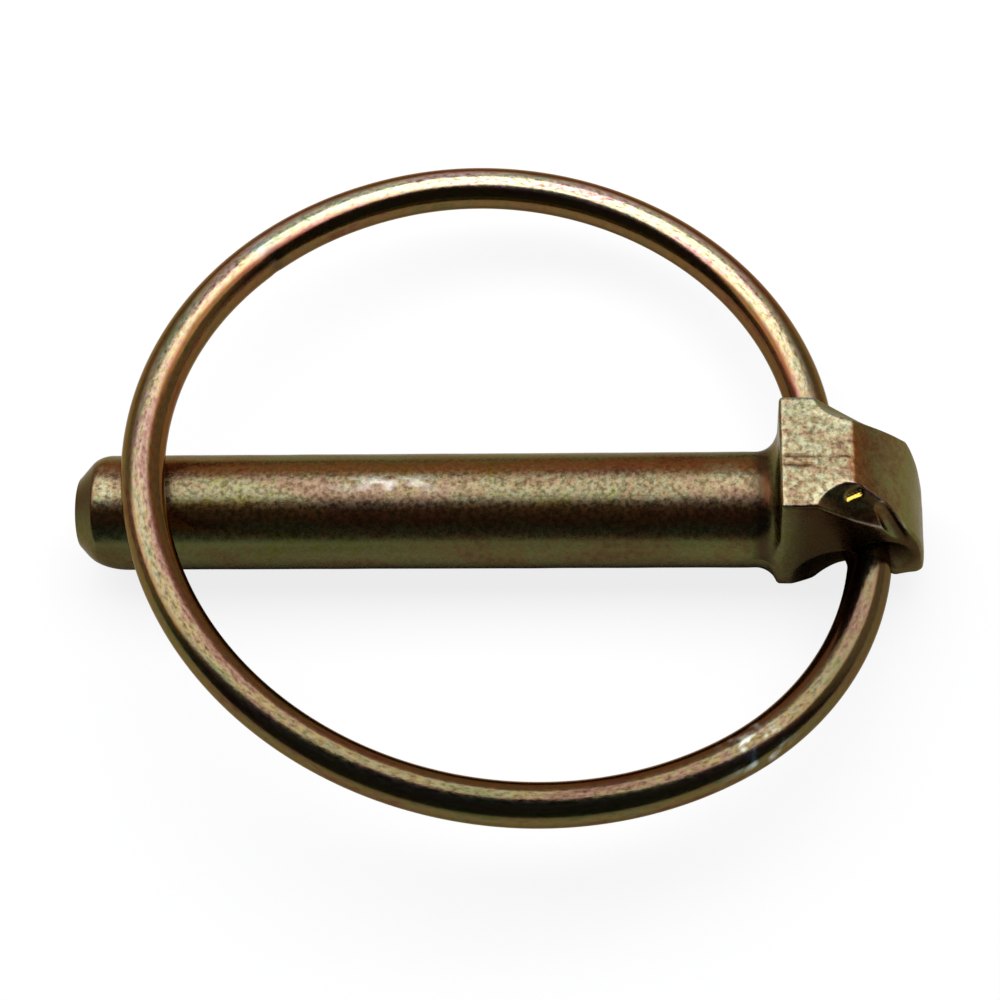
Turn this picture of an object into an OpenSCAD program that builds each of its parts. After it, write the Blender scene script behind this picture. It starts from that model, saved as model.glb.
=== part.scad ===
// Linch pin: a forged pin with a snap ring of spring wire hinged in its head.
// The shank lies along X with its tip towards -X and the head towards +X.
// Z points up, towards the side of the shank that the closed ring rests on.
// The origin is on the shank's axis, where the straight shank meets the fillet
// of the head. All sizes are in millimetres.

/* [Shank] */
// Diameter of the shank
shank_d = 8; // [7:0.1:9]
// Length from the head's shoulder to the end of the tip
shank_len = 48.4; // [46:0.1:54]
// Length of the cone that leads the tip into a hole
tip_len = 1.5; // [1:0.1:2.5]
// Diameter of the flat end of the tip
tip_d = 4.7; // [4:0.1:5.4]
// Radius of the blend from the tip's cone into the shank
tip_blend_r = 5; // [3:0.1:6]
// Radius of the fillet between shank and head
neck_fillet_r = 1.5; // [0.8:0.1:1.8]

/* [Head] */
// Height of the head's flat top above the shank's axis
head_top = 7.6; // [7:0.1:8.2]
// Depth of the head's underside below the shank's axis
head_drop = 4.5; // [4.2:0.1:5]
// Width of the head across its cheeks at the shoulder
head_w = 9.2; // [8.8:0.1:10]
// Width of the head at its nose
nose_w = 7.7; // [7:0.1:8.4]
// Width lost at each cheek from the axis up to the flat top
cheek_draft = 0.15; // [0:0.05:0.4]
// Length of the head from the shoulder to the nose
head_len = 10.2; // [9.8:0.05:11]
// Length of the flat top from the shoulder to the sloping end face
top_len = 4.75; // [4.2:0.05:5.2]
// Length of the flat belly from the shoulder
belly_len = 1.5; // [1:0.1:2.5]
// Distance from the shoulder to where the rising underside levels out
belly_rise_end = 7.5; // [6.5:0.1:8.5]
// Depth of the underside below the axis at the nose
nose_drop = 2.2; // [2:0.1:3]
// Width of the bevel along the shoulder's top edge
shoulder_bevel = 0.3; // [0.1:0.05:0.5]
// Radius of the head's lower edges
belly_r = 3; // [2.4:0.1:3.4]
// Radius of the nose's upright corner at the front
nose_front_r = 0.8; // [0.4:0.1:1.2]
// Radius of the nose's upright corner at the back
nose_back_r = 2.6; // [2:0.1:3]

/* [Scoops] */
// Radius of the slanting scoop at the top of each cheek
upper_scoop_r = 3; // [2.6:0.1:3.4]
// Angle at which both scoops run down towards the nose
upper_scoop_angle = 44; // [40:1:48]
// Depth of the front scoop into the cheek where it leaves the flat top
front_scoop_depth = 3.5; // [3:0.1:3.8]
// Angle at which the front scoop also runs outwards
front_scoop_splay = 21; // [16:1:26]
// Distance from the shoulder to where the front scoop's lower lip leaves the top
front_scoop_start = 2.5; // [2:0.1:3]
// Depth of the back scoop into the cheek where it leaves the flat top
back_scoop_depth = 2.9; // [2.4:0.1:3.2]
// Angle at which the back scoop also runs outwards
back_scoop_splay = 10; // [6:1:16]
// Distance from the shoulder to where the back scoop's lower lip leaves the top
back_scoop_start = 2.2; // [1.8:0.1:2.8]
// Radius of the round hollow about each wire hole
hollow_r = 4; // [3.6:0.1:4.5]
// Depth of that hollow into the cheek
hollow_depth = 2.3; // [1.8:0.1:2.5]
// Distance of the hollow's middle from the shoulder
hollow_x = 4.6; // [4.4:0.1:5.2]
// Depth of the hollow's middle below the shank's axis
hollow_drop = 2.2; // [1.8:0.1:2.6]

/* [Ring] */
// Diameter of the spring wire
wire_d = 3; // [2.6:0.1:3.2]
// Distance from the shoulder to where the ring crosses the shank
ring_reach = 43.15; // [41:0.05:45]
// Gap left between the closed ring and the shank
ring_rest_gap = 0.05; // [0.02:0.01:0.3]
// Angle between the wire over the shank and square to the shank
crossing_angle = 4.3; // [2:0.1:6]
// Extra bend radius of the back half beyond half the distance that it spans
back_swell = 1.82; // [1.4:0.02:2.3]
// Extra bend radius of the front half beyond half the distance that it spans
front_swell = 1.1; // [0.7:0.02:1.5]

/* [Hinge] */
// Distance from the shoulder to the back end of the wire
back_end_x = 2.68; // [2.3:0.02:3]
// Distance from the shank's axis to the bend of the back end
back_end_y = 5.2; // [5.1:0.1:5.6]
// Distance from the shoulder to the front end of the wire
front_end_x = 6.25; // [6:0.05:6.6]
// Distance from the shank's axis to the bend of the front end
front_end_y = 4.2; // [4.2:0.1:4.6]
// Angle of the outward bend at the back end
back_bend = 17.8; // [15:0.1:20]
// Angle of the inward bend at the front end
front_bend = 28.4; // [26:0.1:31]
// Radius of both bends at the middle of the wire
end_bend_r = 3; // [2.4:0.1:3.6]
// Running clearance all round the wire in its hole
hole_clearance = 0.06; // [0.03:0.01:0.1]
// Space between the two ends of the wire inside the head
end_space = 1; // [0.6:0.1:2]
// Half angle of the countersink at each mouth of the hole
countersink_angle = 38; // [34:1:45]
// Depth of the countersink below the bend
countersink_depth = 0.9; // [0.6:0.1:1.2]
// Distance that the countersink opens on past the bend, so the wire swings clear
countersink_run = 1; // [0.8:0.1:1.4]

/* [Hidden] */

$fn = 96;
// A length that reaches past every face that a cut has to clear
past = 40;
// The wire's arcs meet inside small balls, which make them one solid. A ball is
// this much thicker than the wire, and each arc stops this short of its middle.
ball_rise = 0.02;
ball_inset = 0.1;

shank_r = shank_d / 2;
wire_r = wire_d / 2;
hole_r = wire_r + hole_clearance;

// The end face is a cylinder that falls from the flat top to the nose and is
// upright at the depth of the nose's underside.
nose_rise = head_top + nose_drop;
nose_run = head_len - top_len;
end_face_r = (nose_rise * nose_rise + nose_run * nose_run) / (2 * nose_run);

// The hinge runs aslant through the head, from the bend of the back end of the
// wire to that of the front end, and crosses the shank's axis at hinge_x.
hinge_span_x = front_end_x - back_end_x;
hinge_span_y = front_end_y + back_end_y;
hinge_slant = atan2(hinge_span_x, hinge_span_y);
hinge_x = back_end_x + hinge_span_x * back_end_y / hinge_span_y;
back_reach = back_end_y / cos(hinge_slant);
front_reach = front_end_y / cos(hinge_slant);

// Where the ring crosses the shank, in the ring's own flat frame: its x runs
// square to the hinge and its y along it, towards the back.
crossing_rise = shank_r + wire_r + ring_rest_gap;
crossing_run = hinge_x + ring_reach;
crossing_x = -sqrt(pow(crossing_run * cos(hinge_slant), 2) + pow(crossing_rise, 2));
crossing_y = crossing_run * sin(hinge_slant);
crossing = [crossing_x, crossing_y];
rest_angle = asin(crossing_rise / -crossing_x);
// Direction from the crossing to the middle of the ring, square to the wire
inward_angle = crossing_angle - hinge_slant;

function unit(v) = v / norm(v);
function heading(a) = [cos(a), sin(a)];
function angle_of(v) = atan2(v[1], v[0]);
// Angle from a to b, counter-clockwise, between 0 and 360
function turn(a, b) = (b - a) - 360 * floor((b - a) / 360);

// One half of the ring is two arcs that meet without a kink. The first leaves
// the crossing with radius r1. The second ends at the point "end", where
// "square" points from the wire to that arc's centre.
function first_r(end, swell) = norm(end - crossing) / 2 + swell;
function first_centre(r1) = crossing + r1 * heading(inward_angle);
function second_r(r1, end, square) =
    let (d = end - first_centre(r1))
    (r1 * r1 - d * d) / (2 * (d * square + r1));
function meeting(r1, r2, c1, c2) = c1 + r1 * sign(r1 - r2) * unit(c2 - c1);

// A bend starts on the hinge, at this distance short of its corner
function bend_short(bend) = end_bend_r * tan(bend / 2);

// The wire's end stub on the hinge: from near the middle of the head to the bend
module end_stub(reach, bend) {
    rotate([-90, 0, 0])
        translate([0, 0, end_space / 2])
            cylinder(
                r = wire_r,
                h = reach - bend_short(bend) - end_space / 2 - ball_inset
            );
}

// Wire bent in the flat frame about a centre, from start over a swept angle
module wire_arc(centre, r, start, sweep) {
    inset = ball_inset / r * 180 / PI;
    translate([centre[0], centre[1], 0])
        rotate([0, 0, start + inset])
            rotate_extrude(angle = sweep - 2 * inset)
                translate([r, 0])
                    circle(r = wire_r);
}

// Ball in which two lengths of wire meet
module wire_ball(at) {
    translate([at[0], at[1], 0])
        sphere(r = wire_r + ball_rise);
}

// The half of the ring that enters the head's back cheek. Its end bends away
// from the ring's middle.
module back_half() {
    bend_y = back_reach - bend_short(back_bend);
    end = [end_bend_r * (1 - cos(back_bend)), bend_y + end_bend_r * sin(back_bend)];
    square = [-cos(back_bend), sin(back_bend)];
    r1 = first_r(end, back_swell);
    r2 = second_r(r1, end, square);
    c1 = first_centre(r1);
    c2 = end + r2 * square;
    meet = meeting(r1, r2, c1, c2);
    from_meet = angle_of(meet - c1);
    from_end = angle_of(end - c2);
    wire_arc(c1, r1, from_meet, turn(from_meet, angle_of(crossing - c1)));
    wire_arc(c2, r2, from_end, turn(from_end, angle_of(meet - c2)));
    wire_arc([end_bend_r, bend_y], end_bend_r, 180 - back_bend, back_bend);
    end_stub(back_reach, back_bend);
    for (at = [meet, end, [0, bend_y]])
        wire_ball(at);
}

// The half of the ring that enters the head's front cheek. Its end bends
// towards the ring's middle.
module front_half() {
    bend_y = bend_short(front_bend) - front_reach;
    end = [-end_bend_r * (1 - cos(front_bend)), bend_y - end_bend_r * sin(front_bend)];
    square = [-cos(front_bend), sin(front_bend)];
    r1 = first_r(end, front_swell);
    r2 = second_r(r1, end, square);
    c1 = first_centre(r1);
    c2 = end + r2 * square;
    meet = meeting(r1, r2, c1, c2);
    from_crossing = angle_of(crossing - c1);
    from_meet = angle_of(meet - c2);
    wire_arc(c1, r1, from_crossing, turn(from_crossing, angle_of(meet - c1)));
    wire_arc(c2, r2, from_meet, turn(from_meet, angle_of(end - c2)));
    wire_arc([-end_bend_r, bend_y], end_bend_r, -front_bend, front_bend);
    mirror([0, 1, 0])
        end_stub(front_reach, front_bend);
    for (at = [meet, end, [0, bend_y]])
        wire_ball(at);
}

// Carries what is drawn about the hinge's own frame to its place in the head
module at_hinge() {
    translate([neck_fillet_r + hinge_x, 0, 0])
        rotate([0, 0, hinge_slant])
            children();
}

module ring() {
    color("darkgoldenrod")
        at_hinge()
            rotate([0, rest_angle, 0]) {
                back_half();
                front_half();
                wire_ball(crossing);
            }
}

// Outline of the straight shank and its tip, radius over length, for turning
// about the axis. The cone runs into the shank over a round blend.
module shank_outline() {
    cone_angle = atan2(shank_r - tip_d / 2, tip_len);
    blend_run = tip_blend_r * tan(cone_angle / 2);
    straight = shank_len - neck_fillet_r;
    cone_x = straight - tip_len;
    difference() {
        polygon([
            [0, 0], [shank_r, 0], [shank_r, cone_x], [tip_d / 2, straight], [0, straight]
        ]);
        difference() {
            translate([shank_r - blend_run * sin(cone_angle), cone_x - blend_run])
                square([blend_run, blend_run * (1 + cos(cone_angle))]);
            translate([shank_r - tip_blend_r, cone_x - blend_run])
                circle(r = tip_blend_r, $fn = 192);
        }
    }
}

module shank() {
    rotate([0, -90, 0])
        rotate_extrude()
            shank_outline();
}

// Head seen from the front, x from the shoulder and z up
module head_side() {
    intersection() {
        polygon([
            [0, -head_drop],
            [0, head_top - shoulder_bevel],
            [shoulder_bevel, head_top],
            [head_len + 1, head_top],
            [head_len + 1, -nose_drop],
            [belly_rise_end, -nose_drop],
            [belly_len, -head_drop]
        ]);
        translate([head_len - end_face_r, -nose_drop])
            circle(r = end_face_r, $fn = 360);
    }
}

// Head seen along the shank, y across and z up
module head_section() {
    half = head_w / 2;
    polygon([
        [cheek_draft - half, head_top + 1], [half - cheek_draft, head_top + 1],
        [half, 0], [half, belly_r - head_drop],
        [half - belly_r, -head_drop], [belly_r - half, -head_drop],
        [-half, belly_r - head_drop], [-half, 0]
    ]);
    for (side = [-1, 1])
        translate([side * (half - belly_r), belly_r - head_drop])
            circle(r = belly_r);
}

// Head seen from above, x from the shoulder and y across
module head_plan() {
    nose_half = nose_w / 2;
    front_x = head_len - nose_front_r;
    back_x = head_len - nose_back_r;
    polygon([
        [-3, -head_w / 2], [0, -head_w / 2], [front_x, -nose_half],
        [head_len, nose_front_r - nose_half], [head_len, nose_half - nose_back_r],
        [back_x, nose_half], [0, head_w / 2], [-3, head_w / 2]
    ]);
    translate([front_x, nose_front_r - nose_half])
        circle(r = nose_front_r);
    translate([back_x, nose_half - nose_back_r])
        circle(r = nose_back_r);
}

module head_block() {
    intersection() {
        rotate([90, 0, 0])
            linear_extrude(height = past, center = true)
                head_side();
        rotate([90, 0, 90])
            linear_extrude(height = past, center = true)
                head_section();
        linear_extrude(height = past, center = true)
            head_plan();
    }
}

// Fillet between shank and shoulder, kept within the head's own outline
module neck_fillet() {
    intersection() {
        rotate([0, 90, 0])
            rotate_extrude()
                difference() {
                    translate([0, -neck_fillet_r])
                        square([shank_r + neck_fillet_r, neck_fillet_r + 1]);
                    translate([shank_r + neck_fillet_r, -neck_fillet_r])
                        circle(r = neck_fillet_r);
                }
        rotate([90, 0, 90])
            linear_extrude(height = past, center = true)
                head_section();
    }
}

// Scoop that runs down from the flat top along one cheek, drawn for the back.
// The lip is the scoop's lower edge on the cheek.
module upper_scoop(depth, splay, start) {
    cheek = head_w / 2;
    centre_y = cheek - depth + upper_scoop_r;
    lip_drop = sqrt(pow(upper_scoop_r, 2) - pow(centre_y - cheek, 2));
    translate([start, centre_y, head_top])
        rotate([0, 90 + upper_scoop_angle, splay])
            translate([-lip_drop, 0, 0])
                cylinder(r = upper_scoop_r, h = past, center = true);
}

// Round hollow about the wire's hole, drawn for the back
module hole_hollow() {
    translate([hollow_x, head_w / 2 - hollow_depth + hollow_r, -hollow_drop])
        sphere(r = hollow_r);
}

// Through hole for both ends of the wire, with a countersink at each mouth
module wire_hole() {
    sink_len = countersink_depth + countersink_run;
    sink_r = hole_r + sink_len * tan(countersink_angle);
    rotate([90, 0, 0])
        cylinder(r = hole_r, h = past, center = true);
    rotate([-90, 0, 0])
        translate([0, 0, back_reach - countersink_depth])
            cylinder(r1 = hole_r, r2 = sink_r, h = sink_len);
    rotate([90, 0, 0])
        translate([0, 0, front_reach - countersink_depth])
            cylinder(r1 = hole_r, r2 = sink_r, h = sink_len);
}

module head() {
    translate([neck_fillet_r, 0, 0])
        difference() {
            union() {
                head_block();
                neck_fillet();
            }
            upper_scoop(back_scoop_depth, back_scoop_splay, back_scoop_start);
            hole_hollow();
            mirror([0, 1, 0]) {
                upper_scoop(front_scoop_depth, front_scoop_splay, front_scoop_start);
                hole_hollow();
            }
        }
}

module pin() {
    color("peru")
        difference() {
            union() {
                shank();
                head();
            }
            at_hinge()
                wire_hole();
        }
}

pin();
ring();
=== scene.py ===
"""Linch pin with a snap ring: the forged pin, its spring ring, the floor, light and camera.

Sizes are in millimetres until a mesh is made, then metres. X runs along the shank
towards the head, Z points up to the flat of the head, and the origin is on the
shank's axis where the straight shank meets the fillet under the head.
"""

from __future__ import annotations

import logging
from dataclasses import dataclass
from enum import Enum
from math import asin, atan2, copysign, cos, degrees, hypot, pi, radians, sin, sqrt, tan
from typing import Any

import bpy
import numpy as np
from mathutils import Matrix, Vector

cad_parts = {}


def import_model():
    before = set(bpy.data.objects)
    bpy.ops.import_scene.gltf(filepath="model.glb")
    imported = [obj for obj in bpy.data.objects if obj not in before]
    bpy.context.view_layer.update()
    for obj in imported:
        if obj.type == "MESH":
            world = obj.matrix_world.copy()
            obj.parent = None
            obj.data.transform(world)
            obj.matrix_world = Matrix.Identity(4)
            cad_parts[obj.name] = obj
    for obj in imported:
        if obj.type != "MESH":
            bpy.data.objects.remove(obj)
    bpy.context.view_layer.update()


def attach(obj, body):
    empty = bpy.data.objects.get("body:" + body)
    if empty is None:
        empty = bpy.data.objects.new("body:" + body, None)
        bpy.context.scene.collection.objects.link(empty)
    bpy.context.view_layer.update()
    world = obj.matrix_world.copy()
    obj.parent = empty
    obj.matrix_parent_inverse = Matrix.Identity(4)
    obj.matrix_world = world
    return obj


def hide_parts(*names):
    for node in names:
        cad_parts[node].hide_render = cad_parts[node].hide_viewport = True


log = logging.getLogger("linch_pin")

Array = np.ndarray
Pair = tuple[float, float]
Triple = tuple[float, float, float]
Stops = tuple[tuple[float, str], ...]

MM = 0.001
# Direction of the painted light: faces turned to it are painted palest, and the
# colour is painted browner, then olive, as faces tilt away from it
PAINTED_LIGHT_UP = np.array([0.0, -0.139, 0.990])
# How much of each change a point carries, from 0 to 1: paleness that is partly
# painted highlight and partly wear, painted shade with other darkening, warmth, a
# painted glint, and bare zinc
FILM_AND_LIGHT_KEYS = ("pale", "shade", "warm", "painted_glint", "bare")


# ---------------------------------------- helpers


def linear(code: str) -> tuple[float, float, float, float]:
    """Turn an sRGB hex colour into linear light.

    Args:
        code: Six hex digits with a leading hash.

    Returns:
        Red, green, blue and an alpha of 1, each from 0 to 1.
    """
    parts = [int(code[i : i + 2], 16) / 255 for i in (1, 3, 5)]
    rgb = [c / 12.92 if c <= 0.04045 else ((c + 0.055) / 1.055) ** 2.4 for c in parts]
    return rgb[0], rgb[1], rgb[2], 1.0


def smooth(t: Array) -> Array:
    """Ease from 0 to 1 without a kink, by 3t^2 - 2t^3."""
    return t * t * (3 - 2 * t)


def rise(x: Array, start: float, width: float) -> Array:
    """Rise in a straight line from 0 at start to 1 at one width beyond it."""
    return np.clip((x - start) / width, 0, 1)


def bell(x: Array, middle: float, width: float) -> Array:
    """Fall from 1 at the middle by e to the minus square of distance over width."""
    return np.exp(-(((x - middle) / width) ** 2))


def round_max(a: Array, b: Array, r: float | Array) -> Array:
    """Meet two solids with an edge rounded to a radius.

    Formula: the larger distance, except within r of both faces, where it is the
    distance from a circle of radius r that touches both.

    Args:
        a: Signed distances to the first solid, positive outside.
        b: The same for the second.
        r: Radius of the rounded edge.

    Returns:
        Signed distances to what both solids share.
    """
    corner = np.hypot(np.maximum(a + r, 0), np.maximum(b + r, 0))
    return np.minimum(np.maximum(a, b), -r) + corner


def round_min(a: Array, b: Array, r: float) -> Array:
    """Join two solids with a fillet of radius r in the corner between them.

    Args:
        a: Signed distances to the first solid, positive outside.
        b: The same for the second.
        r: Radius of the fillet.

    Returns:
        Signed distances to the joined solid.
    """
    return -round_max(-a, -b, r)


def lattice_noise(p: Array, size: float, seed: int) -> Array:
    """Smooth random values in space.

    Formula: a random value at each corner of a grid of cubes, blended inside each
    cube by the smooth step along each axis.

    Args:
        p: Points, one row each, in millimetres.
        size: Side of the cubes in millimetres.
        seed: Start of the random values.

    Returns:
        One value from -1 to 1 for each point.
    """
    count, away = 8192, 1000.0
    primes = np.array([73856093, 19349663, 83492791])
    table = np.random.default_rng(seed).uniform(-1, 1, count)
    q = p / size + away
    base = np.floor(q).astype(np.int64)
    t = smooth(q - base)
    total = np.zeros(len(p))
    for corner in range(8):
        step = np.array([corner & 1, (corner >> 1) & 1, (corner >> 2) & 1])
        key = np.bitwise_xor.reduce((base + step) * primes, axis=1)
        weight = np.prod(np.where(step == 1, t, 1 - t), axis=1)
        total += weight * table[key % count]
    return total


def wire_length(line: Array) -> Array:
    """Distance along a line to each of its points, which are rows."""
    return np.concatenate([[0], np.cumsum(np.linalg.norm(np.diff(line, axis=0), axis=1))])


def grid_loops(rows: int, columns: int) -> tuple[Array, Array]:
    """Faces of a grid that closes round its columns, with a fan at each end.

    Args:
        rows: Number of rows of points.
        columns: Number of points in each row. The two poles' points follow the rows.

    Returns:
        Point numbers of the faces' corners in turn, and where each face starts.
    """
    i, j = np.meshgrid(np.arange(rows - 1) * columns, np.arange(columns), indexing="ij")
    k = (j + 1) % columns
    quads = np.stack([i + j, i + k, i + columns + k, i + columns + j], axis=-1)
    j, k, pole, last_row = j[0], k[0], np.full(columns, rows * columns), (rows - 1) * columns
    fans = np.stack([pole, k, j, pole + 1, last_row + j, last_row + k]).reshape(2, 3, columns)
    loops = np.concatenate([quads.ravel(), fans.transpose(0, 2, 1).ravel()])
    sizes = np.concatenate([np.full(quads.size // 4, 4), np.full(2 * columns, 3)])
    return loops.astype(np.int32), np.concatenate([[0], np.cumsum(sizes)[:-1]]).astype(np.int32)


def closed_grid(
    name: str,
    points: Array,
    values: dict[str, Array],
    finish: YellowZinc,
    uv: Array | None = None,
) -> bpy.types.Object:
    """Make a mesh from a grid that closes round its columns, cap its ends and dress it.

    Args:
        name: Name of the object.
        points: Grid of points in millimetres, rows by columns by 3.
        values: Named values of the passivation and of the painted light and shade
        for each point, rows by columns.
        finish: What covers the mesh.
        uv: Values for each point's own map, rows by columns by 2.

    Returns:
        The linked object, with smooth shading and faces that point outwards.
    """
    rows, columns = points.shape[:2]
    poles = np.stack([points[0].mean(0), points[-1].mean(0)])
    verts = np.concatenate([points.reshape(-1, 3), poles]) * MM
    loops, starts = grid_loops(rows, columns)
    mesh = bpy.data.meshes.new(name)
    mesh.vertices.add(len(verts))
    mesh.vertices.foreach_set("co", verts.astype(np.float32).ravel())
    mesh.loops.add(len(loops))
    mesh.loops.foreach_set("vertex_index", loops)
    mesh.polygons.add(len(starts))
    mesh.polygons.foreach_set("loop_start", starts)
    mesh.update(calc_edges=True)
    mesh.validate()
    mesh.polygons.foreach_set("use_smooth", np.ones(len(mesh.polygons), bool))
    if uv is not None:
        at = np.concatenate([uv.reshape(-1, 2), uv[0, :1], uv[-1, :1]])
        layer = mesh.uv_layers.new(name="wire")
        layer.data.foreach_set("uv", at[loops].astype(np.float32).ravel())
    # The rim of each cap stays a crisp edge.
    ends = np.empty(len(mesh.edges) * 2, np.int32)
    mesh.edges.foreach_get("vertices", ends)
    row = ends.reshape(-1, 2) // columns
    rim = (row[:, 0] == row[:, 1]) & ((row[:, 0] == 0) | (row[:, 0] == rows - 1))
    mesh.attributes.new("sharp_edge", "BOOLEAN", "EDGE").data.foreach_set("value", rim)
    obj = bpy.data.objects.new(name, mesh)
    bpy.context.scene.collection.objects.link(obj)
    # Faces that point inwards would make the volume negative.
    normal = np.empty(len(mesh.polygons) * 3, np.float32)
    middle = np.empty_like(normal)
    mesh.polygons.foreach_get("normal", normal)
    mesh.polygons.foreach_get("center", middle)
    from_centre = middle.reshape(-1, 3) - verts.mean(0)
    if float(np.sum(from_centre * normal.reshape(-1, 3))) < 0:
        mesh.flip_normals()
    facing = np.empty(len(verts) * 3, np.float32)
    mesh.vertex_normals.foreach_get("vector", facing)
    # Tilt away from the painted light's direction, by which the material paints light and shade
    upward = facing.reshape(-1, 3) @ PAINTED_LIGHT_UP
    tilt = np.degrees(np.arccos(np.clip(upward, -1, 1))) / 180
    # The rims share their points with the caps, so they take their neighbours' tilt.
    last_row = (rows - 1) * columns
    tilt[:columns] = tilt[columns : 2 * columns]
    tilt[last_row : last_row + columns] = tilt[last_row - columns : last_row]
    each = {key: np.concatenate([g.ravel(), g[0, :1], g[-1, :1]]) for key, g in values.items()}
    for key, value in {"tilt": tilt, **each}.items():
        layer = mesh.attributes.new(key, "FLOAT", "POINT")
        layer.data.foreach_set("value", value.astype(np.float32))
    mesh.materials.append(finish.material())
    return obj


def node(
    tree: bpy.types.NodeTree,
    kind: str,
    links: dict[Any, Any] | None = None,
    stops: Stops = (),
    **settings: Any,
) -> Any:
    """Add a shader node with its settings, values and links.

    Args:
        tree: Node tree that takes the node.
        kind: Blender's name of the node's type, without its "ShaderNode".
        links: Input name or number to a value, an output or a node's first output.
        stops: Position and hex colour of each stop, where the node has a ramp.
        settings: Attributes of the node.

    Returns:
        The new node.
    """
    made = tree.nodes.new("ShaderNode" + kind)
    for key, value in settings.items():
        setattr(made, key, value)
    for key, value in (links or {}).items():
        if isinstance(value, bpy.types.Node):
            value = value.outputs[0]
        if isinstance(value, bpy.types.NodeSocket):
            tree.links.new(value, made.inputs[key])
        else:
            made.inputs[key].default_value = value
    if stops:
        band = made.color_ramp
        while len(band.elements) < len(stops):
            band.elements.new(0.5)
        for element, (place, code) in zip(band.elements, stops):
            element.position = place
            element.color = linear(code)
    return made


# ---------------------------------------- finishes


class Surface(Enum):
    """How the steel under the plating was made, and which way its marks run.

    Each value tells how often the film's patches repeat along and across the piece
    in one patch's size, and then the same for the grain.
    """

    FORGED = ((0.6, 1.0), (1.0, 1.0))
    DRAWN = ((1.0, 9.0), (0.45, 1.0))


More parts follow.
